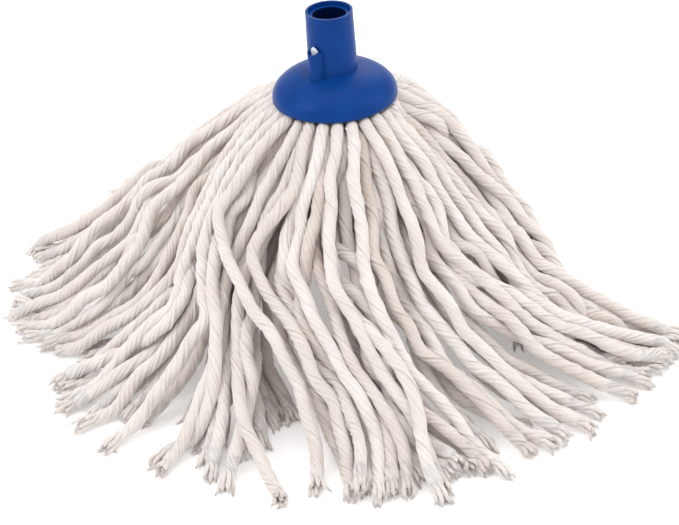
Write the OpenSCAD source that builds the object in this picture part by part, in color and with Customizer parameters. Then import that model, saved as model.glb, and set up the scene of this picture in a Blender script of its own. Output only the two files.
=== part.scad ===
// Socket mop head: a moulded socket for a round handle, a sprung catch, and a
// skirt of twisted cotton strands clamped under the socket's flange.
// +Z is up, millimetres. The origin is on the floor, under the handle's axis.

/* [Handle socket] */
// Bore for the handle, at the socket's guide
bore_d = 23.8; // [22:0.2:24.2]
// Depth of the bore from the socket's mouth
bore_depth = 41.5; // [36:0.5:42]
// Outer diameter of the tube at its mouth
mouth_d = 33.6; // [33:0.2:35]
// Outer diameter of the tube at its foot
foot_d = 35.4; // [35:0.2:37]
// Height of the mouth above the flange's rim
socket_h = 65.5; // [64:0.5:70]

/* [Flange] */
// Diameter of the flange's rim
flange_d = 90; // [88:1:96]
// Height of the domed flange
dome_h = 21.5; // [20:0.5:23]
// Wall of the dome
dome_wall = 2.7; // [2:0.1:3.2]
// Height of the rim above the floor, on the spread strands
rim_z = 162; // [160:1:170]

/* [Catch] */
// Direction of the catch, from +X towards +Y
catch_angle = 230; // [180:5:270]
// Width of the half-round housing
housing_d = 11.7; // [11.5:0.1:13]
// Height of the housing's top above the rim
housing_top = 41; // [40.5:0.1:43.5]
// Width of the catch
catch_w = 4.9; // [4:0.1:5]

/* [Yarn] */
// Diameter of a twisted strand
strand_d = 9.2; // [7:0.1:9.4]
// Rings along a strand's tube
strand_rings = 15; // [12:1:18]

/* [Hidden] */
$fn = 64;
gap = 0.3;
dome_step = 3;                 // degrees between the points of the dome's outline

// Socket
bore_r = bore_d / 2;
seat_r = bore_r - 0.25;        // the bore's lower stretch, where the handle's end sits
bore_floor = socket_h - bore_depth;
counterbore_r = 15.2;
counterbore_h = 3;
rim_lip = 1.6;                 // the dome stands on a straight edge this high
foot_h = rim_lip + dome_h * 0.85;
root = 1;                      // the tube and the housing reach this far into the dome's wall
fillet_r = 3;
cavity_r = flange_d / 2 - dome_wall;
cavity_h = dome_h - dome_wall;
cavity_top = rim_lip + cavity_h;
boss_r = 5;
boss_bottom = -7;
screw_pilot_r = 1.7;

// Catch, in its own plane: distance from the handle's axis, height above the rim
housing_at = 18;               // centre of the half-round housing
pivot_at = 18.6;
pivot_h = 24.5;
pivot_r = 1.6;
pivot_gap = 0.08;
tongue_in = 17.6;
tongue_out = 19.6;
tab_top = 45.2;
tab_out = 21;                  // the thumb tab leans out to here
tab_t = 1.5;
pocket_top = tab_top - 0.6;
slot_w = catch_w + 2 * gap;
pocket_w = slot_w + 1.2;
nose_tip = 10.9;
nose_z = [34.2, 36.4, 39.4];   // underside, tip's top, root's top

// Clamp under the dome
plate_r = 22;
plate_t = 4;
plate_top = boss_bottom;
screw_head_r = 4.6;
screw_head_h = 2.8;
screw_r = 2.25;
screw_len = 17;
driver_slot_w = 1.2;
driver_slot_h = 1.2;
yarn_r = cavity_r - gap;

// Strands: each one starts in the flange's mouth and ends on the floor.
// A row holds the tip's distance from the axis, how it falls (1 is a straight
// slope, less is steep first and flat later), and its azimuth at five stations,
// spaced evenly from the rim to the tip.
strand_r = strand_d / 2;
start_r = [40.8, 33];          // outer and inner strands, distance from the axis
top_z = rim_z - 5;             // height at which the outer strands start
lie_z = strand_r + 0.2;        // a strand's centre where it lies on the floor
land_at = 0.93;                // the floor is reached this far along a strand
soft_landing = 8;              // height over which it comes to lie
under = 12;                    // inner strands run this much lower
tube_sides = 8;
outer_start = -223.33;         // azimuth where the first outer strand leaves
inner_start = -221.8;

OUTER = [
    [248, 1.25, [-212, -207, -203, -199, -198]],
    [254, 1.30, [-199, -190, -186, -183, -186]],
    [245, 1.20, [-184, -171, -163, -166, -172]],
    [224, 1.20, [-168, -154, -148, -155, -162]],
    [240, 1.20, [-159, -147, -139, -143, -147]],
    [248, 1.20, [-149, -140, -128, -130, -132]],
    [248, 1.34, [-142, -133.5, -110, -99.5, -97]],
    [254, 0.98, [-130, -128, -123, -121, -121]],
    [254, 1.20, [-113, -120, -103, -94, -92]],
    [258, 1.20, [-106, -106, -97, -88, -88]],
    [260, 1.20, [-95, -95, -89, -81, -79]],
    [258, 1.20, [-83, -84, -82, -75, -70]],
    [254, 1.10, [-63, -69, -65, -59, -54]],
    [247, 1.00, [-54, -58, -51, -44, -38]],
    [248, 0.90, [-41, -46, -42, -37, -31]],
    [246, 0.80, [-25, -30, -37, -34, -28]],
    [244, 0.70, [-3, -17, -30, -30, -25]],
    [172, 1.60, [1, -3, -8, -17, -32]],
    [155, 1.80, [14, 8, 1, -11, -38]],
    [150, 1.90, [33, 32, 28, 20, 4]],
    [180, 1.70, [46, 48, 52, 60, 74]],
    [210, 1.30, [62, 68, 75, 82, 92]],
    [225, 1.30, [76, 82, 89, 97, 112]],
    [240, 1.40, [88, 94, 101, 108, 120]],
    [242, 1.50, [100, 104, 111, 119, 127]],
    [244, 1.50, [113, 117, 123, 130, 136]],
    [238, 1.40, [127, 132, 138, 144, 147]],
];

INNER = [
    [230, 1.15, [-218, -214, -210, -207, -208]],
    [250, 1.20, [-192, -181, -174, -174, -180]],
    [232, 1.02, [-164, -161, -153, -146.5, -150]],
    [243, 1.20, [-137, -137, -134, -137, -139]],
    [264, 1.20, [-118, -122, -118, -110, -102]],
    [249, 1.20, [-89, -89, -86, -78, -74]],
    [252, 1.10, [-73, -76, -73, -66, -61]],
    [247, 0.95, [-47, -52, -47, -41, -35]],
    [208, 0.80, [-13, -21, -32, -32, -32]],
    [154, 1.50, [24, 18, 8, -4, -14]],
    [150, 1.40, [56, 52, 46, 36, 14]],
    [195, 1.10, [80, 76, 74, 76, 83]],
    [225, 1.10, [105, 99, 106, 113, 120.5]],
];

function two_digits(n) = str(n < 10 ? "0" : "", n);
function outer_name(i) = str("outer_strand_", two_digits(i + 1));
function inner_name(i) = str("inner_strand_", two_digits(i + 1));

// ---- helpers ----

// A dome on a straight edge: a quarter of an ellipse, from the edge up to the axis
function dome_outline(r, h) = [for (a = [0 : dome_step : 90]) [r * cos(a), rim_lip + h * sin(a)]];

module dome(r, h, bottom = 0) {
    rotate_extrude() polygon(concat([[0, bottom], [r, bottom]], dome_outline(r, h)));
}

// Something drawn in the catch's plane (distance from the axis, height above
// the rim), made w wide across that plane
module across_catch(w) {
    rotate([0, 0, catch_angle]) rotate([90, 0, 0]) linear_extrude(height = w, center = true) children();
}

// Something drawn facing the catch (sideways, height above the rim)
module facing_catch(from, to) {
    rotate([0, 0, catch_angle]) translate([from, 0, 0]) rotate([90, 0, 90])
        linear_extrude(height = to - from) children();
}

// A pointed arch on straight sides, w wide, with its tip at the given height
module pointed_arch(w, tip) {
    arch_r = 1.22 * w;
    spring = tip - sqrt(pow(arch_r, 2) - pow(arch_r - w / 2, 2));
    translate([-w / 2, 0]) square([w, spring]);
    translate([0, spring]) intersection() {
        translate([w / 2 - arch_r, 0]) circle(r = arch_r);
        translate([arch_r - w / 2, 0]) circle(r = arch_r);
    }
}

// ---- hardware ----

module tube_outside() {
    translate([0, 0, foot_h - root]) cylinder(h = socket_h - foot_h + root, r1 = foot_d / 2, r2 = mouth_d / 2);
    rotate_extrude() difference() {
        translate([0, foot_h - root]) square([foot_d / 2 + fillet_r - 0.2, fillet_r + root]);
        translate([foot_d / 2 + fillet_r - 0.2, foot_h + fillet_r]) circle(r = fillet_r);
    }
}

module catch_housing() {
    rotate([0, 0, catch_angle]) translate([housing_at, 0, foot_h - root])
        cylinder(h = housing_top - foot_h + root, d = housing_d);
}

module bore() {
    translate([0, 0, bore_floor]) cylinder(h = socket_h, r = seat_r);
    translate([0, 0, housing_top]) cylinder(h = socket_h, r = bore_r);
    translate([0, 0, socket_h - counterbore_h]) cylinder(h = counterbore_h + 1, r = counterbore_r);
}

// The slot that the catch swings in: its pivot groove, and an arched pocket
// in the tube's wall behind the thumb tab
module catch_slot() {
    across_catch(slot_w) {
        polygon([
            [tongue_in - gap, pivot_h], [20.0, pivot_h + 1], [22.5, housing_top + 1],
            [tongue_in - gap, housing_top + 1]
        ]);
        translate([pivot_at, pivot_h]) circle(r = pivot_r + pivot_gap);
        translate([nose_tip - 2, nose_z[0] - 0.6]) square([10, nose_z[2] - nose_z[0] + 2.6]);
    }
    facing_catch(tongue_in - 1.8, housing_at + housing_d) intersection() {
        pointed_arch(pocket_w, pocket_top);
        translate([-pocket_w, housing_top - 1]) square(2 * pocket_w);
    }
}

module socket() color([0.09, 0.25, 0.56]) translate([0, 0, rim_z]) {
    difference() {
        union() {
            difference() {
                dome(flange_d / 2, dome_h);
                dome(cavity_r, cavity_h, -1);
            }
            tube_outside();
            catch_housing();
            translate([0, 0, cavity_top - 4]) cylinder(h = bore_floor - cavity_top + 4, r = foot_d / 2);
            translate([0, 0, boss_bottom]) cylinder(h = bore_floor - boss_bottom, r = boss_r);
        }
        bore();
        catch_slot();
        translate([0, 0, boss_bottom - 1]) cylinder(h = screw_len - plate_t + 2, r = screw_pilot_r);
    }
}

module catch() color([0.93, 0.93, 0.97]) translate([0, 0, rim_z]) intersection() {
    across_catch(catch_w) {
        translate([pivot_at, pivot_h]) circle(r = pivot_r);
        polygon([
            [tongue_in, pivot_h], [tongue_out, pivot_h], [tongue_out, housing_top], [tab_out, tab_top],
            [tab_out - tab_t, tab_top], [tongue_in, housing_top], [tongue_in, nose_z[2]],
            [nose_tip, nose_z[1]], [nose_tip, nose_z[0] + 0.5], [tongue_in, nose_z[0]]
        ]);
    }
    facing_catch(nose_tip - 1, tab_out + 1) pointed_arch(catch_w, tab_top);
}

module clamp_plate() color([0.10, 0.27, 0.58]) translate([0, 0, rim_z + plate_top]) difference() {
    union() {
        translate([0, 0, -plate_t]) cylinder(h = plate_t, r1 = plate_r - 2, r2 = plate_r);
        translate([0, 0, -plate_t - 1.5]) cylinder(h = 2, r = screw_head_r + 3);
    }
    translate([0, 0, -plate_t - 3]) cylinder(h = plate_t + 4, r = screw_r + 0.25);
    translate([0, 0, -plate_t - 3]) cylinder(h = 3.5, r = screw_head_r + 0.5);
}

module clamp_screw() color("silver") translate([0, 0, rim_z + plate_top - plate_t + 0.5]) difference() {
    union() {
        translate([0, 0, -screw_head_h]) cylinder(h = screw_head_h, r1 = screw_head_r - 1, r2 = screw_head_r);
        cylinder(h = plate_t - 0.5, r = screw_r);
        translate([0, 0, plate_t - 0.5]) cylinder(h = screw_len - plate_t, r = screw_pilot_r);
    }
    translate([-screw_head_r, -driver_slot_w / 2, -screw_head_h - 1])
        cube([2 * screw_head_r, driver_slot_w, driver_slot_h + 1]);
}

// ---- yarn ----

// The strands' folded middles, pressed round the boss between plate and dome
module yarn_middles() color([0.93, 0.90, 0.87]) translate([0, 0, rim_z]) difference() {
    union() {
        dome(yarn_r - gap, cavity_h - gap);
        translate([0, 0, plate_top + gap]) cylinder(h = -plate_top - gap, r = start_r[1] - 3);
    }
    translate([0, 0, plate_top - 1]) cylinder(h = cavity_top - plate_top + 2, r = boss_r + gap);
    translate([0, 0, cavity_top - 4 - gap]) cylinder(h = 10, r = foot_d / 2 + gap);
}

// The rest of the yarn: the ends that hang and lie under the modelled strands
module yarn_heap() color([0.90, 0.87, 0.84]) rotate_extrude() polygon([
    [0, 0], [126, 0], [133, 8], [104, 28], [78, 62], [52, 100], [36, 126], [26, 136], [12, 141], [0, 141]
]);

// Azimuth by Catmull-Rom through the row's stations; n counts stations from the rim
function at_station(list, n) = list[max(0, min(len(list) - 1, n))];
function blend(a, b, c, d, t) =
    b + t * ((c - a) + t * ((2 * a - 5 * b + 4 * c - d) + t * (3 * b - a - 3 * c + d))) / 2;
function azimuth(list, u) =
    let (s = u * (len(list) - 1), n = min(floor(s), len(list) - 2))
    blend(at_station(list, n - 1), list[n], list[n + 1], at_station(list, n + 2), s - n);

// A height that fades softly to nothing where the slope would pass the floor
function settle(h) = (h + sqrt(h * h + soft_landing * soft_landing)) / 2;

function strand_point(row, layer, start, u) =
    let (
        r = start_r[layer] + (row[0] - start_r[layer]) * u,
        a = azimuth(concat([start], row[2]), u),
        slope = (top_z - lie_z) * (1 - pow(u / land_at, row[1])),
        layer_drop = layer * under * (1 - pow(u, 4))
    )
    [r * cos(a), r * sin(a), lie_z + settle(slope) - layer_drop];

function unit(v) = v / norm(v);
function direction(p, i) = unit(p[min(i + 1, len(p) - 1)] - p[max(i - 1, 0)]);
function ring(p, i) =
    let (t = direction(p, i), side = unit(cross(t, [0, 0, 1])), up = cross(side, t))
    [for (k = [0 : tube_sides - 1])
        let (a = 360 * (k + 0.5) / tube_sides) p[i] + strand_r * (cos(a) * side + sin(a) * up)];

module tube(p) {
    last = len(p) - 1;
    points = [for (i = [0 : last]) each ring(p, i)];
    sides = [for (i = [0 : last - 1], k = [0 : tube_sides - 1])
        let (m = (k + 1) % tube_sides, a = i * tube_sides, b = a + tube_sides)
        each [[a + k, b + k, b + m], [a + k, b + m, a + m]]];
    ends = [
        [for (k = [0 : tube_sides - 1]) k],
        [for (k = [tube_sides - 1 : -1 : 0]) last * tube_sides + k]
    ];
    polyhedron(points = points, faces = concat(sides, ends));
}

module strand(row, layer, start) color([0.93, 0.90, 0.87])
    tube([for (i = [0 : strand_rings - 1]) strand_point(row, layer, start, i / (strand_rings - 1))]);

// ---- assembly ----

socket();
catch();
clamp_plate();
clamp_screw();
yarn_middles();
yarn_heap();
for (i = [0 : len(OUTER) - 1])
    strand(OUTER[i], 0, outer_start + i * 360 / len(OUTER));
for (i = [0 : len(INNER) - 1])
    strand(INNER[i], 1, inner_start + i * 360 / len(INNER));
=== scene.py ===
"""Looks of the cotton string mop head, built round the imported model.

Metres, with +Z up and the origin on the floor, under the handle's axis.
"""

import math

import bpy
import numpy as np
from mathutils import Matrix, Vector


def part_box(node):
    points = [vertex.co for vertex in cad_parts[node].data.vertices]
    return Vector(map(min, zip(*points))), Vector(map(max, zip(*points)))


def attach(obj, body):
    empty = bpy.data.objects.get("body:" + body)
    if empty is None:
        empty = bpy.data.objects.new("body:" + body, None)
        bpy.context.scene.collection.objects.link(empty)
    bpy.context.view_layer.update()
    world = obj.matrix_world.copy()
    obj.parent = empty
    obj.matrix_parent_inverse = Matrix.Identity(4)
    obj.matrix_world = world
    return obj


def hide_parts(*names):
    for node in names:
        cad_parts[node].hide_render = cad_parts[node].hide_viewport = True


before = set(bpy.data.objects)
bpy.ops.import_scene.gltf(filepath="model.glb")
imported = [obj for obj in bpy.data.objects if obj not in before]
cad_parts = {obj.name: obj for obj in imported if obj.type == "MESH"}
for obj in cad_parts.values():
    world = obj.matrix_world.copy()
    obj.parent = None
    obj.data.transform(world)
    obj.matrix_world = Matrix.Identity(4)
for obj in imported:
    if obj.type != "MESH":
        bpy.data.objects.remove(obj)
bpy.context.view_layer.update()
rng = np.random.default_rng(11)

# ---- Sizes ----

SOCKET_H = 0.0655                         # the mouth's height above the flange's rim
RIM_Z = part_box("socket")[1].z - SOCKET_H
BORE_R = 0.012
STRAND_R = 0.0046
LIE_Z = STRAND_R + 0.0002                 # a strand's centre where it lies on the floor
TOP_Z = RIM_Z - 0.005                     # height at which the outer strands start
START_R = (0.0408, 0.033)                 # outer and inner strands, distance from the axis
LAND_AT = 0.93                            # the floor is reached this far along a strand
SOFT_LANDING = 0.008                      # height over which it eases on to the floor
UNDER = 0.012                             # inner strands run this much lower
OUTER_START = -223.33                     # azimuth where the first strand of each layer leaves
INNER_START = -221.8
ROUTE_POINTS = 161                        # on a route as it is worked out

PLIES = 7
PLY_R = 0.0015
TWIST_PITCH = 0.041                       # length of one full turn of the plies
RING_STEP = 0.0024                        # between two rings of a strand's mesh
FLOOR_CLEAR = 1.1                         # a centre's least height, as a share of the radius

# The strands' routes: the tip's distance from the axis, how the strand falls,
# and its azimuth at five stations, spaced evenly from the rim to the tip
OUTER = [
    (0.248, 1.25, (-212, -207, -203, -199, -198)),
    (0.254, 1.30, (-199, -190, -186, -183, -186)),
    (0.245, 1.20, (-184, -171, -163, -166, -172)),
    (0.224, 1.20, (-168, -154, -148, -155, -162)),
    (0.240, 1.20, (-159, -147, -139, -143, -147)),
    (0.248, 1.20, (-149, -140, -128, -130, -132)),
    (0.248, 1.34, (-142, -133.5, -110, -99.5, -97)),
    (0.254, 0.98, (-130, -128, -123, -121, -121)),
    (0.254, 1.20, (-113, -120, -103, -94, -92)),
    (0.258, 1.20, (-106, -106, -97, -88, -88)),
    (0.260, 1.20, (-95, -95, -89, -81, -79)),
    (0.258, 1.20, (-83, -84, -82, -75, -70)),
    (0.254, 1.10, (-63, -69, -65, -59, -54)),
    (0.247, 1.00, (-54, -58, -51, -44, -38)),
    (0.248, 0.90, (-41, -46, -42, -37, -31)),
    (0.246, 0.80, (-25, -30, -37, -34, -28)),
    (0.244, 0.70, (-3, -17, -30, -30, -25)),
    (0.172, 1.60, (1, -3, -8, -17, -32)),
    (0.155, 1.80, (14, 8, 1, -11, -38)),
    (0.150, 1.90, (33, 32, 28, 20, 4)),
    (0.180, 1.70, (46, 48, 52, 60, 74)),
    (0.210, 1.30, (62, 68, 75, 82, 92)),
    (0.225, 1.30, (76, 82, 89, 97, 112)),
    (0.240, 1.40, (88, 94, 101, 108, 120)),
    (0.242, 1.50, (100, 104, 111, 119, 127)),
    (0.244, 1.50, (113, 117, 123, 130, 136)),
    (0.238, 1.40, (127, 132, 138, 144, 147)),
]

INNER = [
    (0.230, 1.15, (-218, -214, -210, -207, -208)),
    (0.250, 1.20, (-192, -181, -174, -174, -180)),
    (0.232, 1.02, (-164, -161, -153, -146.5, -150)),
    (0.243, 1.20, (-137, -137, -134, -137, -139)),
    (0.264, 1.20, (-118, -122, -118, -110, -102)),
    (0.249, 1.20, (-89, -89, -86, -78, -74)),
    (0.252, 1.10, (-73, -76, -73, -66, -61)),
    (0.247, 0.95, (-47, -52, -47, -41, -35)),
    (0.208, 0.80, (-13, -21, -32, -32, -32)),
    (0.154, 1.50, (24, 18, 8, -4, -14)),
    (0.150, 1.40, (56, 52, 46, 36, 14)),
    (0.195, 1.10, (80, 76, 74, 76, 83)),
    (0.225, 1.10, (105, 99, 106, 113, 120.5)),
]

# The strands under them: how far they reach, as azimuth and distance from the axis
SKIRT = (
    (-215, 0.234), (-198, 0.250), (-186, 0.256), (-176, 0.250), (-170, 0.234), (-163, 0.206),
    (-158, 0.212), (-150, 0.240), (-141, 0.250), (-122, 0.246), (-117, 0.222), (-113, 0.250),
    (-109, 0.250), (-107, 0.180), (-98, 0.175), (-95, 0.235), (-80, 0.262), (-59, 0.268),
    (-47, 0.256), (-34, 0.256), (-26, 0.240), (-20, 0.190), (-10, 0.165), (4, 0.148),
    (40, 0.150), (74, 0.176), (92, 0.205), (112, 0.225), (125, 0.240), (140, 0.238),
)

# Their layers: how many, how deep they leave the flange, and their shortest and
# longest reach as shares of the skirt's
FILLERS = (
    (32, 0.008, 0.96, 1.04),
    (36, 0.014, 0.93, 1.03),
    (34, 0.020, 0.87, 1.01),
    (26, 0.027, 0.76, 0.98),
)
TUCKED_IN = 0.65                          # how much nearer the axis they leave, as a share of the depth
SUNK_BY = 0.1                             # they run deepest this far along
SQUEEZED = 0.6                            # their width at the flange, as a share of the full width
OPENS_OVER = 0.025                        # length over which they widen


# ---- Camera, made first because the cords' spread is judged from it ----

CAMERA_PLACE = (0, -1.2261, 0.7733)
LENS = 100.9
LOOK_LEFT = 0.283                         # the camera's three turns, in degrees
LOOK_DOWN = 31.556
ROLL = -4.4                               # leans the mop head a little left


def add_camera():
    """Looks down on the mop head from the front."""
    data = bpy.data.cameras.new("front_camera")
    data.sensor_width = 36
    data.lens = LENS
    camera = bpy.data.objects.new("front_camera", data)
    bpy.context.scene.collection.objects.link(camera)
    place = Matrix.Translation(CAMERA_PLACE)
    turn = Matrix.Rotation(math.radians(LOOK_LEFT), 4, "Z")
    tilt = Matrix.Rotation(math.radians(90 - LOOK_DOWN), 4, "X")
    roll = Matrix.Rotation(math.radians(ROLL), 4, "Z")
    camera.matrix_world = place @ turn @ tilt @ roll
    bpy.context.scene.camera = camera


# ---- Routes ----

def azimuth(stations, u):
    """Azimuth in degrees at u, by Catmull-Rom through evenly spaced stations."""
    held = np.array([stations[0], *stations, stations[-1]], float)
    s = u * (len(stations) - 1)
    n = np.minimum(s.astype(int), len(stations) - 2)
    t = s - n
    a, b, c, d = (held[n + k] for k in range(4))
    return b + t * ((c - a) + t * ((2 * a - 5 * b + 4 * c - d) + t * (3 * b - a - 3 * c + d))) / 2


def height(fall, u):
    """How high a strand runs at u: down a slope, then softly on to the floor."""
    slope = (TOP_Z - LIE_Z) * (1 - (u / LAND_AT) ** fall)
    return LIE_Z + (slope + np.sqrt(slope ** 2 + SOFT_LANDING ** 2)) / 2


def polar(r, degrees, z):
    a = np.radians(degrees)
    return np.stack([r * np.cos(a), r * np.sin(a), z], axis=-1)


def route(row, layer, start, u):
    """A modelled strand's line, from its row of the table, at the shares u of its reach."""
    reach, fall, stations = row
    r = START_R[layer] + (reach - START_R[layer]) * u
    z = height(fall, u) - layer * UNDER * (1 - u ** 4)
    return polar(r, azimuth((start, *stations), u), z)


def start_azimuth(layer, i):
    first, rows = ((OUTER_START, OUTER), (INNER_START, INNER))[layer]
    return first + i * 360 / len(rows)


def length_of(path):
    return np.linalg.norm(np.diff(path, axis=0), axis=1).sum()


def gone_along(path):
    """How far along the line each of its points is."""
    return np.concatenate([[0], np.cumsum(np.linalg.norm(np.diff(path, axis=0), axis=1))])


def evenly(path, count):
    """The same line with its points evenly spaced."""
    along = gone_along(path)
    at = np.linspace(0, along[-1], count)
    return np.stack([np.interp(at, along, path[:, k]) for k in range(3)], axis=1)


def rounded(path, passes):
    """Takes the small corners out of a line and keeps its ends."""
    path = path.copy()
    for _ in range(passes):
        path[1:-1] += ((path[:-2] + path[2:]) / 2 - path[1:-1]) / 2
    return path


def filler_route(place, depth, share, sway, u):
    """A strand under the modelled ones. place counts the outer strands round the
    rim, and 4.3 runs between the fifth and the sixth. share is its reach as a
    share of the skirt's, and depth how far below them it leaves the flange. sway
    is its swing in degrees, how many waves it makes, and where they begin."""
    i = int(place)
    weight = place - i
    rows = [OUTER[k % len(OUTER)] for k in (i, i + 1)]
    laps = [360 * (k // len(OUTER)) for k in (i, i + 1)]
    weights = (1 - weight, weight)
    tip = sum(w * (row[2][-1] + lap) for w, row, lap in zip(weights, rows, laps))
    angles, reaches = zip(*SKIRT)
    beside = sum(w * row[0] for w, row in zip(weights, rows))
    reach = share * min(np.interp(tip, angles, reaches, period=360), beside)
    fall = sum(w * row[1] for w, row in zip(weights, rows))
    start = START_R[0] - TUCKED_IN * depth
    r = start + (reach - start) * u
    swing, waves, phase = sway
    degrees = swing * (np.sin(np.pi * u) * np.sin(2 * np.pi * (waves * u + phase)))
    for w, k, row, lap in zip(weights, (i, i + 1), rows, laps):
        at = np.clip((r - START_R[0]) / (row[0] - START_R[0]), 0, 1)
        degrees = degrees + w * (azimuth((start_azimuth(0, k % len(OUTER)), *row[2]), at) + lap)
    sunk = depth * np.minimum(u / SUNK_BY, 1) * (1 - u) ** 1.5
    return polar(r, degrees, np.maximum(height(fall, u) - sunk, LIE_Z))


# ---- Making the strands lie beside each other ----

ROUNDS = 110
SEARCH_EVERY = 12                         # rounds between two searches for close points
NEAR = 3.2 * STRAND_R
HELD_POINTS = 3                           # these stay where the strand leaves the flange
STRAIGHTEN = 0.2                          # shares of a fault that one round puts right
RESPACE = 0.4
LOWER = 0.5


def close_pairs(points, strand):
    """Index pairs of points near each other, on different strands."""
    square = (points ** 2).sum(axis=1)
    block = 1500
    found = []
    for first in range(0, len(points), block):
        part = slice(first, first + block)
        d2 = square[part, None] + square[None] - 2 * points[part] @ points.T
        a, b = np.nonzero(d2 < NEAR ** 2)
        a += first
        keep = (a < b) & (strand[a] != strand[b])
        found.append(np.stack([a[keep], b[keep]]))
    return np.concatenate(found, axis=1)


def push_apart(p, a, b, radii, mobile):
    """Moves the points of each pair a, b apart as far as their strands overlap."""
    apart = p[a] - p[b]
    distance = np.linalg.norm(apart, axis=1) + 1e-9
    overlap = np.clip(radii[a] + radii[b] - distance, 0, None)
    share = mobile[a] + mobile[b]
    push = apart * (overlap / distance / np.maximum(share, 1))[:, None]
    touches = np.bincount(a, overlap > 0, len(p)) + np.bincount(b, overlap > 0, len(p))
    for k in range(3):
        moved = np.bincount(a, push[:, k], len(p)) - np.bincount(b, push[:, k], len(p))
        p[:, k] += mobile * moved / np.sqrt(np.maximum(touches, 1))


def straighten(q, can, spacing):
    """Takes some of the bends out of each strand, and respaces its points."""
    bend = (q[:, :-2] + q[:, 2:]) / 2 - q[:, 1:-1]
    q[:, 1:-1] += STRAIGHTEN * bend * can[:, 1:-1]
    for _ in range(2):
        line = np.diff(q, axis=1)
        size = np.linalg.norm(line, axis=2, keepdims=True) + 1e-9
        fix = line * (1 - spacing[:, :, None] / size) * RESPACE
        q[:, :-1] += fix * can[:, :-1]
        q[:, 1:] -= fix * can[:, 1:]


def relax(paths, free, radii, ceiling):
    """Moves the free strands out of the others and the floor, a little each
    round, and back down where they rise over the ceiling. Some overlap stays."""
    strands, count, _ = paths.shape
    p = paths.reshape(-1, 3).copy()
    strand = np.repeat(np.arange(strands), count)
    step = np.tile(np.arange(count), strands)
    mobile = (free[strand] & (step >= HELD_POINTS)).astype(float)
    spacing = np.linalg.norm(np.diff(paths, axis=1), axis=2)
    radii = radii.reshape(-1)
    ceiling = ceiling.reshape(-1)
    for turn in range(ROUNDS):
        if turn % SEARCH_EVERY == 0:
            a, b = close_pairs(p, strand)
        push_apart(p, a, b, radii, mobile)
        straighten(p.reshape(strands, count, 3), mobile.reshape(strands, count, 1), spacing)
        low = (p[:, 2] < radii) & (mobile > 0)
        p[low, 2] = radii[low]
        high = (p[:, 2] > ceiling) & (mobile > 0)
        p[high, 2] -= LOWER * (p[high, 2] - ceiling[high])
    return p.reshape(strands, count, 3)


# ---- Meshes ----

class Tubes:
    """Collects tubes into one mesh. Each point also keeps how far along and
    round its strand it is, how deep it lies in the groove between two plies, and
    its strand's shade, a tone that, on the under strands near the flange, also holds painted shade."""

    def __init__(self):
        self.points = []
        self.faces = []
        self.along = []
        self.around = []
        self.groove = []
        self.shade = []
        self.count = 0

    def add(self, path, radii, profile, turns, shade, begin=0.0):
        """profile is (angle, share of the radius, groove) for each side."""
        angle, share, groove = profile
        across, up = moving_frames(path)
        sides = len(angle)
        a = angle[None] + turns[:, None]
        size = radii[:, None] * share[None]
        ring = (
            path[:, None]
            + (size * np.cos(a))[:, :, None] * across[:, None]
            + (size * np.sin(a))[:, :, None] * up[:, None]
        )
        rings = len(path)
        first = self.count
        self.points.append(ring.reshape(-1, 3))
        i, k = np.meshgrid(np.arange(rings - 1), np.arange(sides), indexing="ij")
        here = first + i * sides
        after = (k + 1) % sides
        quads = np.stack([here + k, here + after, here + sides + after, here + sides + k], axis=-1)
        self.faces += quads.reshape(-1, 4).tolist()
        self.faces.append(list(range(first + sides - 1, first - 1, -1)))
        last = first + (rings - 1) * sides
        self.faces.append(list(range(last, last + sides)))
        self.along.append(np.repeat(begin + gone_along(path), sides))
        self.around.append(np.tile(angle, rings) * radii.max())
        self.groove.append(np.tile(groove, rings))
        self.shade.append(np.repeat(np.broadcast_to(shade, rings), sides))
        self.count += rings * sides

    def make(self, name, material):
        mesh = bpy.data.meshes.new(name)
        mesh.from_pydata(np.concatenate(self.points).tolist(), [], self.faces)
        for attribute in ("along", "around", "groove", "shade"):
            data = np.concatenate(getattr(self, attribute)).astype(np.float32)
            mesh.attributes.new(attribute, "FLOAT", "POINT").data.foreach_set("value", data)
        mesh.polygons.foreach_set("use_smooth", [True] * len(mesh.polygons))
        mesh.materials.append(material)
        mesh.update()
        made = bpy.data.objects.new(name, mesh)
        bpy.context.scene.collection.objects.link(made)
        return made


def moving_frames(path):
    """Two directions square to the line at each of its points, that turn with it
    and not about it."""
    tangent = np.gradient(path, axis=0)
    tangent /= np.linalg.norm(tangent, axis=1, keepdims=True) + 1e-12
    across = np.zeros_like(path)
    side = np.cross(tangent[0], (0.0, 0.0, 1.0))
    if np.linalg.norm(side) < 1e-3:
        side = np.array((1.0, 0.0, 0.0))
    for i, t in enumerate(tangent):
        side = side - t * side.dot(t)
        side /= np.linalg.norm(side)
        across[i] = side
    return across, np.cross(tangent, across)


def ply_profile(plies, groove_depth, points_each, uneven=0.0):
    """A section of plies side by side round a core. uneven makes some of them
    wider and fuller than others."""
    part = np.arange(points_each) / points_each
    deep = 1 - np.sin(np.pi * part) ** 0.6
    groove = np.tile(deep, plies)
    angle = 2 * np.pi * np.arange(plies * points_each) / (plies * points_each)
    wide = uneven * np.sin(angle + rng.uniform(0, 6))
    wide = wide + 0.6 * uneven * np.sin(2 * angle + rng.uniform(0, 6))
    full = np.repeat(rng.normal(0, 0.35 * uneven, plies), points_each) * (1 - groove)
    return angle + wide, (1 - groove_depth * groove) * (1 + full), groove


def round_profile(sides):
    angle = 2 * np.pi * np.arange(sides) / sides
    return angle, np.ones(sides), np.zeros(sides)


# ---- Yarn ----

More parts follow.
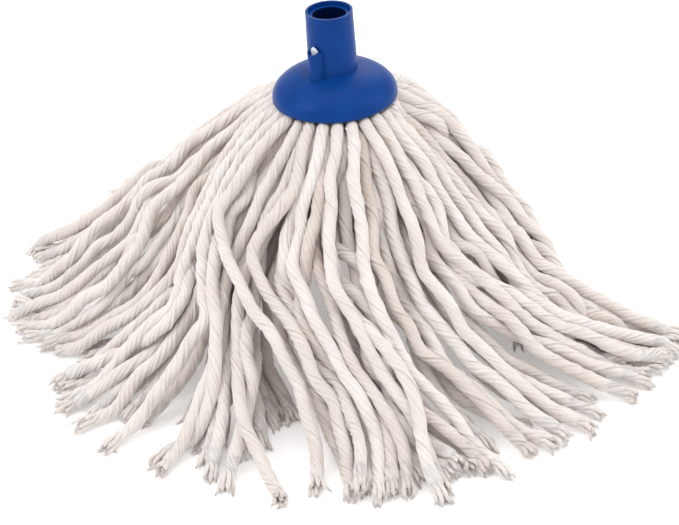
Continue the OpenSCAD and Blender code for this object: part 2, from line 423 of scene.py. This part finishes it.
PLY_PROFILE = ply_profile(3, 0.14, 2)
FIBRE_PROFILE = round_profile(4)
BODY_GROOVE = 0.10                        # between a strand's plies, as a share of its radius
UNEVEN = 0.18
SWELL = 0.05                              # a strand widens by this share
SWELLS_AT = 0.014                         # from this far before the end,
SWELLS_OVER = 0.010                       # over this length,
CLOSE = 0.35                              # and narrows by this share among its loose plies
CLOSES_AT = 0.005
HAIRS = 14                                # that stand off each strand
HAIR = (0.0015, 0.004)                    # their shortest and longest
HAIR_R = (0.00014, 0.00006)               # at the root and the point
LOOSE = (0.004, 0.011)                    # the loose plies at a strand's end, before they vary
LOOSE_POINTS = 8
FRAY_RINGS = 7                            # rings of the body that each loose ply also follows
DROOP = 0.3                               # how far a loose ply's end drops, as a share of it
FIBRES = 6                                # at the end of each loose ply
FIBRE = (0.0012, 0.0032)
FIBRE_R = (0.00032, 0.00012)
FINE_POINTS = 4                           # along a hair or a fibre


def smooth_step(x):
    x = np.clip(x, 0, 1)
    return x * x * (3 - 2 * x)


def between_ends(count):
    """A column that rises from nothing at the first point to one and falls again."""
    return np.sin(np.pi * np.linspace(0, 1, count))[:, None]


def wander(count, size, slow=12):
    """Smooth noise along a line, one row of three numbers for each point. slow is
    about how many points one of its waves takes."""
    knots = rng.normal(0, size, (max(4, count // slow + 2), 3))
    at = np.linspace(0, len(knots) - 1, count)
    lines = [np.interp(at, np.arange(len(knots)), knots[:, k]) for k in range(3)]
    return rounded(np.stack(lines, axis=1), slow)


def add_strand_body(tubes, path, radius, shade, squeezed=1.0, points_each=5):
    """The twisted part. It starts squeezed under the flange, and its end opens a
    little and closes among the loose plies. Returns the twist along it."""
    gone = gone_along(path)
    left = gone[-1] - gone
    radii = radius * (squeezed + (1 - squeezed) * smooth_step(gone / OPENS_OVER))
    broad = wander(len(path), 1.0)[:, 0]
    fine = wander(len(path), 1.0, 4)[:, 0]
    radii = radii * (1 + 0.035 * broad + 0.02 * fine)
    radii = radii * (1 + SWELL * smooth_step((SWELLS_AT - left) / SWELLS_OVER))
    radii = radii * (1 - CLOSE * smooth_step((CLOSES_AT - left) / CLOSES_AT))
    path[:, 2] = np.maximum(path[:, 2], FLOOR_CLEAR * radii)
    pitch = TWIST_PITCH * rng.uniform(0.85, 1.25)
    turns = -2 * np.pi * gone / pitch + rng.uniform(0, 2 * np.pi)
    turns = turns + 0.6 * wander(len(path), 1.0)[:, 1]
    tubes.add(path, radii, ply_profile(PLIES, BODY_GROOVE, points_each, UNEVEN), turns, shade)
    return turns


def add_fuzz(tubes, path, radius, shade):
    """Fine hairs that stand off a strand along its length."""
    across, up = moving_frames(path)
    radii = np.linspace(*HAIR_R, FINE_POINTS)
    straight = np.zeros(FINE_POINTS)
    share = np.linspace(0, 1, FINE_POINTS)[:, None]
    bare = 8                              # rings at each end that have none
    for i in rng.integers(bare, len(path) - bare, HAIRS):
        a = rng.uniform(0, 2 * np.pi)
        out = np.cos(a) * across[i] + np.sin(a) * up[i]
        lean = (path[i + 2] - path[i - 2]) * rng.uniform(-120, 120)
        size = rng.uniform(*HAIR)
        hair = path[i] + out * (0.92 * radius + size * share) + lean * size * share ** 2
        hair[:, 2] = np.maximum(hair[:, 2], 0.0003)
        tubes.add(hair, radii, FIBRE_PROFILE, straight, shade, rng.uniform(0, 1))


def loose_ply(begin, heading, size):
    """The free part of a ply. It wanders and droops more towards its end."""
    share = np.linspace(0, 1, LOOSE_POINTS)
    line = begin + heading * np.linspace(size / LOOSE_POINTS, size, LOOSE_POINTS)[:, None]
    line += wander(LOOSE_POINTS, 0.0010, 4) * share[:, None]
    line[:, 2] -= DROOP * size * share ** 2
    return line


def ply_radii(count):
    """A loose ply widens along its length and narrows at its very end."""
    wider = 1.0 + 0.25 * np.linspace(0, 1, count)
    return PLY_R * wider * (0.45 + 0.55 * smooth_step(np.linspace(6, 0, count)))


def add_fray(tubes, path, turns, radius, shade):
    """The cut end: each ply follows its place in the twist, then opens a little,
    droops to the floor and ends bluntly in short fibres. The last one runs near
    the middle."""
    across, up = moving_frames(path)
    first = len(path) - FRAY_RINGS
    tangent = path[-1] - path[-4]
    tangent /= np.linalg.norm(tangent)
    open_by = rng.uniform(0.05, 0.30)
    length = rng.uniform(*LOOSE)
    for ply in range(PLIES + 1):
        angle = 2 * np.pi * (ply + 0.5) / PLIES + turns[first:]
        core = 0.2 if ply == PLIES else 1.0
        out = np.cos(angle)[:, None] * across[first:] + np.sin(angle)[:, None] * up[first:]
        inside = path[first:] + core * out * (radius - PLY_R)
        heading = tangent + core * out[-1] * open_by * rng.uniform(0.3, 1.5) + rng.normal(0, 0.05, 3)
        heading /= np.linalg.norm(heading)
        loose = loose_ply(inside[-1], heading, length * rng.uniform(0.6, 1.4))
        line = rounded(np.concatenate([inside, loose]), 2)
        radii = ply_radii(len(line))
        line[:, 2] = np.maximum(line[:, 2], FLOOR_CLEAR * radii)
        twist = np.linspace(0, -7, len(line)) + rng.uniform(0, 6)
        tubes.add(line, radii, PLY_PROFILE, twist, shade, rng.uniform(0, 1))
        add_fibres(tubes, line, shade)


def add_fibres(tubes, line, shade):
    """Short fine fibres that stand out of a ply's cut end."""
    heading = line[-1] - line[-3]
    heading /= np.linalg.norm(heading) + 1e-9
    radii = np.linspace(*FIBRE_R, FINE_POINTS)
    straight = np.zeros(FINE_POINTS)
    for _ in range(FIBRES):
        begin = line[-1] + rng.normal(0, 0.0006, 3)
        aim = heading + rng.normal(0, 0.30, 3)
        fibre = begin + aim * np.linspace(-0.001, rng.uniform(*FIBRE), FINE_POINTS)[:, None]
        fibre += wander(FINE_POINTS, 0.0002, 2)
        fibre[:, 2] = np.maximum(fibre[:, 2], 0.0004)
        tubes.add(fibre, radii, FIBRE_PROFILE, straight, shade, rng.uniform(0, 1))


# ---- Materials ----

class Shader:
    """Short names for building a material's nodes."""

    def __init__(self, name):
        self.material = bpy.data.materials.new(name)
        self.material.use_nodes = True
        self.tree = self.material.node_tree
        self.surface = self.tree.nodes["Principled BSDF"]

    def node(self, kind, links=(), **values):
        """A node with its settings. links are (its input, another node's output)."""
        made = self.tree.nodes.new("ShaderNode" + kind)
        for name, value in values.items():
            setattr(made, name, value)
        for socket, source in links:
            self.link(source, made.inputs[socket])
        return made

    def link(self, source, socket):
        if isinstance(source, bpy.types.NodeSocket):
            self.tree.links.new(source, socket)
        else:
            socket.default_value = source

    def attribute(self, name):
        return self.node("Attribute", attribute_name=name).outputs["Fac"]

    def math(self, operation, a, b=0.0):
        return self.node("Math", ((0, a), (1, b)), operation=operation).outputs[0]

    def noise(self, vector, scale, detail=2.0, roughness=0.5):
        links = [("Scale", scale), ("Detail", detail), ("Roughness", roughness)]
        if vector is not None:
            links.append(("Vector", vector))
        return self.node("TexNoise", links).outputs["Fac"]

    def ramp(self, value, stops):
        """A colour ramp from (position, colour) stops."""
        made = self.node("ValToRGB", ((0, value),))
        elements = made.color_ramp.elements
        while len(elements) < len(stops):
            elements.new(0.5)
        for element, (position, colour) in zip(elements, stops):
            element.position = position
            element.color = (*colour, 1)
        return made.outputs[0]

    def mix(self, factor, a, b, blend="MIX"):
        links = ((0, factor), (6, a), (7, b))
        return self.node("Mix", links, data_type="RGBA", blend_type=blend).outputs[2]

    def vector(self, x, y, z):
        return self.node("CombineXYZ", ((0, x), (1, y), (2, z))).outputs[0]

    def position(self):
        return self.node("TexCoord").outputs["Object"]

    def bump(self, value, strength, distance, under=None):
        links = [("Height", value), ("Strength", strength), ("Distance", distance)]
        if under is not None:
            links.append(("Normal", under))
        return self.node("Bump", links).outputs[0]

    def finish(self, **values):
        """Sets the surface's own sockets, by name with _ for a space."""
        for name, value in values.items():
            self.link(value, self.surface.inputs[name.replace("_", " ")])
        return self.material


def cotton():
    """Soft unbleached cotton: fine fibres along the strand, a slightly different
    tone on each strand, painted shade that browns it where other strands lie over it, and faint grooves
    with painted shade in them."""
    s = Shader("cotton_yarn")
    along = s.attribute("along")
    around = s.attribute("around")
    groove = s.attribute("groove")
    shade = s.attribute("shade")
    seed = s.math("MULTIPLY", shade, 7.0)
    fibre_place = s.vector(s.math("MULTIPLY", along, 220.0), s.math("MULTIPLY", around, 1300.0), seed)
    fibres = s.noise(fibre_place, 1.0, 4.0, 0.65)
    lump_place = s.vector(s.math("MULTIPLY", along, 170.0), s.math("MULTIPLY", around, 260.0), seed)
    lumps = s.noise(lump_place, 1.0, 3.0)
    blotch = s.noise(s.position(), 45.0, 3.0)
    # The low stops are browns. The under strands reach them near the flange, as painted shade; otherwise
    # the ramp gives each strand its own tone
    tone_and_shade = s.ramp(shade, (
        (0.0, (0.45, 0.35, 0.30)),
        (0.25, (0.65, 0.575, 0.53)),
        (0.55, (0.77, 0.72, 0.69)),
        (1.0, (0.815, 0.775, 0.755)),
    ))
    worn = s.ramp(blotch, ((0.35, (0.93, 0.905, 0.89)), (0.65, (1.0, 1.0, 1.0))))
    colour = s.mix(0.8, tone_and_shade, worn, "MULTIPLY")
    fine = s.ramp(fibres, ((0.3, (0.86, 0.84, 0.825)), (0.65, (1.0, 1.0, 1.0))))
    colour = s.mix(0.7, colour, fine, "MULTIPLY")
    # Painted shade: the grooves between plies are coloured darker
    deep = s.ramp(groove, ((0.45, (1.0, 1.0, 1.0)), (1.0, (0.90, 0.865, 0.84))))
    colour = s.mix(s.math("MULTIPLY", lumps, 1.3), colour, deep, "MULTIPLY")
    soft = s.bump(lumps, 0.7, 0.0011)
    normal = s.bump(fibres, 0.6, 0.0004, soft)
    return s.finish(
        Base_Color=colour, Normal=normal, Roughness=0.9, Specular_IOR_Level=0.15,
        Sheen_Weight=0.2, Sheen_Roughness=0.5, Subsurface_Weight=0.3, Subsurface_Scale=0.004,
        Subsurface_Radius=(1.0, 0.8, 0.65),
    )


def blue_plastic():
    """Royal blue moulded polypropylene: satin, faintly mottled, lightly scuffed,
    and with painted shade down inside the bore, where it is coloured nearly black."""
    s = Shader("blue_plastic")
    place = s.position()
    cloud = s.noise(place, 60.0, 3.0)
    grain = s.noise(place, 2600.0, 2.0)
    scuff = s.noise(place, 420.0, 4.0, 0.7)
    own_blue = s.ramp(cloud, ((0.3, (0.002, 0.040, 0.205)), (0.7, (0.003, 0.048, 0.240))))
    # Painted shade: nearer the axis than BORE_R, down the bore, the colour is set nearly black-blue
    across = s.node("VectorMath", ((0, place), (1, (1.0, 1.0, 0.0))), operation="MULTIPLY").outputs[0]
    from_axis = s.node("VectorMath", ((0, across),), operation="LENGTH").outputs["Value"]
    inside = s.math("LESS_THAN", from_axis, BORE_R)
    colour = s.mix(inside, own_blue, (0.001, 0.008, 0.050, 1.0))
    rough = s.ramp(scuff, ((0.35, (0.30, 0.30, 0.30)), (0.75, (0.42, 0.42, 0.42))))
    normal = s.bump(grain, 0.08, 0.0002, s.bump(cloud, 0.05, 0.001))
    return s.finish(
        Base_Color=colour, Roughness=rough, Normal=normal, Specular_IOR_Level=0.09,
        Subsurface_Weight=0.04, Subsurface_Scale=0.002,
    )


def white_nylon():
    s = Shader("white_nylon")
    place = s.position()
    cloud = s.noise(place, 90.0, 3.0)
    colour = s.ramp(cloud, ((0.3, (0.78, 0.80, 0.86)), (0.7, (0.86, 0.87, 0.90))))
    rough = s.ramp(s.noise(place, 500.0, 3.0), ((0.3, (0.34, 0.34, 0.34)), (0.7, (0.46, 0.46, 0.46))))
    return s.finish(
        Base_Color=colour, Roughness=rough, Normal=s.bump(cloud, 0.05, 0.0005),
        Subsurface_Weight=0.2, Subsurface_Scale=0.002,
    )


def zinc_steel():
    s = Shader("zinc_steel")
    place = s.position()
    cloud = s.noise(place, 300.0, 3.0)
    colour = s.ramp(cloud, ((0.3, (0.52, 0.53, 0.55)), (0.7, (0.66, 0.66, 0.67))))
    rough = s.ramp(cloud, ((0.3, (0.25, 0.25, 0.25)), (0.7, (0.40, 0.40, 0.40))))
    return s.finish(Base_Color=colour, Roughness=rough, Metallic=1.0, Normal=s.bump(cloud, 0.05, 0.0002))


def pale_floor():
    s = Shader("pale_floor")
    colour = s.ramp(s.noise(s.position(), 3.0), ((0.3, (0.90, 0.90, 0.90)), (0.7, (0.92, 0.92, 0.92))))
    return s.finish(
        Base_Color=colour, Roughness=0.9, Specular_IOR_Level=0.1,
        Emission_Color=(1.0, 1.0, 1.0, 1.0), Emission_Strength=0.25,
    )


# ---- The mop head's pieces ----

COTTON = cotton()
BODY = "mop_head"
MODELLED_WAVER = 0.0026                   # how much a strand's line wanders
UNDER_WAVER = 0.0022
SETTLE_POINTS = 56                        # on each strand while they settle
SETTLE_R = 0.95 * STRAND_R                # what each keeps clear meanwhile
HEADROOM = 0.007                          # how far a strand may rise above its route


def declared_strand(name, row, layer, start):
    """One of the forty modelled strands, with its frayed tip."""
    line = route(row, layer, start, np.linspace(0, 1, ROUTE_POINTS))
    path = evenly(line, int(length_of(line) / RING_STEP))
    path = path + wander(len(path), MODELLED_WAVER, 9) * between_ends(len(path))
    path[:, 2] = np.maximum(path[:, 2], LIE_Z)
    shade = rng.uniform(0.5, 1)
    body = Tubes()
    turns = add_strand_body(body, path, STRAND_R, shade)
    strand = body.make("strand_" + name, COTTON)
    fray = Tubes()
    add_fuzz(fray, path, STRAND_R, shade)
    add_fray(fray, path, turns, STRAND_R, shade)
    tip = fray.make("fray_" + name, COTTON)
    for piece in (strand, tip):
        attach(piece, BODY)
    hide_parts(name)
    return path


def filler_plan():
    """Where each strand under the modelled ones runs: its place round the rim,
    depth, share of the skirt's reach, and sway. Their places are evenly spaced,
    so that together they fill the skirt, and their layers are shuffled."""
    counts = [layer[0] for layer in FILLERS]
    order = rng.permutation(np.repeat(np.arange(len(FILLERS)), counts))
    plan = []
    for k, layer in enumerate(order):
        _, depth, low, high = FILLERS[layer]
        place = (k + rng.uniform(-0.25, 0.25)) * len(OUTER) / len(order) % len(OUTER)
        sway = (rng.uniform(2, 6), rng.uniform(0.7, 1.9), rng.uniform(0, 1))
        plan.append((place, depth, rng.uniform(low, high), sway))
    return plan


def settled(fixed, loose):
    """The loose strands' lines, pushed out of each other and of the fixed ones,
    so that they lie beside and under them."""
    paths = np.stack([evenly(line, SETTLE_POINTS) for line in fixed + loose])
    free = np.arange(len(paths)) >= len(fixed)
    radii = np.full((len(paths), SETTLE_POINTS), SETTLE_R)
    opening = smooth_step(np.linspace(0, 8, SETTLE_POINTS))
    radii[free] *= (SQUEEZED + (1 - SQUEEZED) * opening)[None]
    return relax(paths, free, radii, paths[:, :, 2] + HEADROOM)[len(fixed):]


def under_strand(name, path, depth):
    """A strand under the modelled ones, with its frayed tip. The deeper it leaves
    the flange, the browner it is painted there, as painted shade."""
    path = rounded(path, 2)
    path = rounded(evenly(path, int(length_of(path) / RING_STEP)), 3)
    path += wander(len(path), UNDER_WAVER, 8) * between_ends(len(path))
    deepest = FILLERS[-1][1]
    # Painted shade: the share by which the shade value drops near the flange, more for deeper layers, so
    # the cotton ramp colours it browner
    cover_shade = depth / deepest * (1 - smooth_step(np.linspace(0, 1.5, len(path))))
    shade = rng.uniform(0.45, 1) * (1 - cover_shade)
    radius = STRAND_R * rng.uniform(0.92, 1.06)
    tubes = Tubes()
    turns = add_strand_body(tubes, path, radius, shade, SQUEEZED, 4)
    add_fuzz(tubes, path, radius, shade[-1])
    add_fray(tubes, path, turns, radius, shade[-1])
    piece = tubes.make(name, COTTON)
    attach(piece, BODY)
    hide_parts("yarn_heap")


def add_yarn():
    """All the strands. The modelled ones stay on their routes."""
    fixed = []
    for layer, (rows, word) in enumerate(((OUTER, "outer"), (INNER, "inner"))):
        for i, row in enumerate(rows):
            name = "%s_strand_%02d" % (word, i + 1)
            fixed.append(declared_strand(name, row, layer, start_azimuth(layer, i)))
    u = np.linspace(0, 1, ROUTE_POINTS)
    plan = filler_plan()
    paths = settled(fixed, [filler_route(*one, u) for one in plan])
    for k, (path, (_, depth, _, _)) in enumerate(zip(paths, plan)):
        under_strand("under_strand_%02d" % (k + 1), path, depth)


def add_folded_middles():
    """The strands' folded middles, that run in under the dome to the boss."""
    tubes = Tubes()
    count = 24
    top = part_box("yarn_middles")[1]
    dome_r = top.x - STRAND_R
    dome_h = top.z - RIM_Z - STRAND_R
    arc = np.linspace(0, 1, 24) * math.radians(62)
    r = dome_r * np.cos(arc)
    z = RIM_Z + 0.9 * dome_h * np.sin(arc) - 0.001
    for k in range(count):
        path = polar(r, np.full(len(r), 360 * k / count), z)
        add_strand_body(tubes, path, 0.8 * STRAND_R, rng.uniform(0, 1))
    piece = tubes.make("folded_middles", COTTON)
    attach(piece, BODY)
    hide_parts("yarn_middles")


def dress_hardware():
    """Materials for the CAD pieces that stay."""
    blue = blue_plastic()
    finishes = {"socket": blue, "clamp_plate": blue, "catch": white_nylon(), "clamp_screw": zinc_steel()}
    for name, material in finishes.items():
        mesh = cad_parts[name].data
        mesh.materials.clear()
        mesh.materials.append(material)


# ---- Studio ----

# Each light's name, place, side in metres and power in watts
LIGHTS = (
    ("key", (-1.5, -0.7, 1.5), 1.2, 12),
    ("fill", (1.6, -0.3, 1.1), 1.4, 8),
    ("back", (0.3, 1.6, 1.3), 1.4, 10),
    ("top", (0.05, -0.1, 1.9), 1.4, 7),
)
SKY = 0.86                                # strength of the even light from all round
FLOOR_HALF = 6


def add_light(name, place, side, power):
    """A square soft light that faces the mop head."""
    data = bpy.data.lights.new(name, "AREA")
    data.size = side
    data.energy = power
    light = bpy.data.objects.new(name, data)
    bpy.context.scene.collection.objects.link(light)
    x, y, z = place
    turn = Matrix.Rotation(math.atan2(x, -y), 4, "Z")
    tilt = Matrix.Rotation(math.atan2(math.hypot(x, y), z), 4, "X")
    light.matrix_world = Matrix.Translation(place) @ (turn @ tilt)


def add_studio():
    """The floor, the lights and the even light round them."""
    mesh = bpy.data.meshes.new("floor")
    near, far = -FLOOR_HALF, FLOOR_HALF
    corners = [(near, near, 0), (far, near, 0), (far, far, 0), (near, far, 0)]
    mesh.from_pydata(corners, [], [(0, 1, 2, 3)])
    mesh.materials.append(pale_floor())
    floor = bpy.data.objects.new("floor", mesh)
    bpy.context.scene.collection.objects.link(floor)
    for light in LIGHTS:
        add_light(*light)
    world = bpy.data.worlds.new("studio")
    world.use_nodes = True
    background = world.node_tree.nodes["Background"]
    background.inputs["Color"].default_value = (1, 1, 1, 1)
    background.inputs["Strength"].default_value = SKY
    bpy.context.scene.world = world
    bpy.context.scene.view_settings.view_transform = "Standard"


add_camera()
add_yarn()
add_folded_middles()
dress_hardware()
add_studio()
